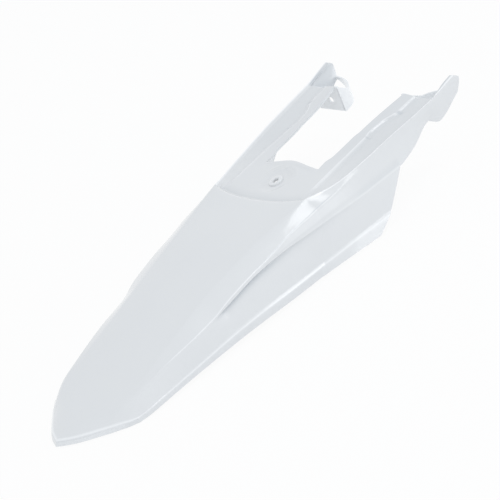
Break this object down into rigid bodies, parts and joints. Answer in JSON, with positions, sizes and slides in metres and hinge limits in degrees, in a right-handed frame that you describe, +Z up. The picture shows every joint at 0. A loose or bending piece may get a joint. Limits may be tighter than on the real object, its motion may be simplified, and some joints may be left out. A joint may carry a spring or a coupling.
{
  "type": "motorcycle rear fender",
  "caption": "Rear fender of an off-road motorcycle in white plastic, with a pointed tail, a recessed seat deck, flared side panels and forward arms that end in bolt brackets.",
  "frame": {"origin": "centre of the bounding box at the floor that the part stands on", "axes": "+X to the rider's right, +Y forward towards the arms, +Z up"},
  "size_m": [0.256, 0.7026, 0.11],
  "materials": {
    "plastic": "gloss, slightly translucent white"
  },
  "bodies": {
    "root": {"rear_fender": "plastic"}
  },
  "joints": []
}
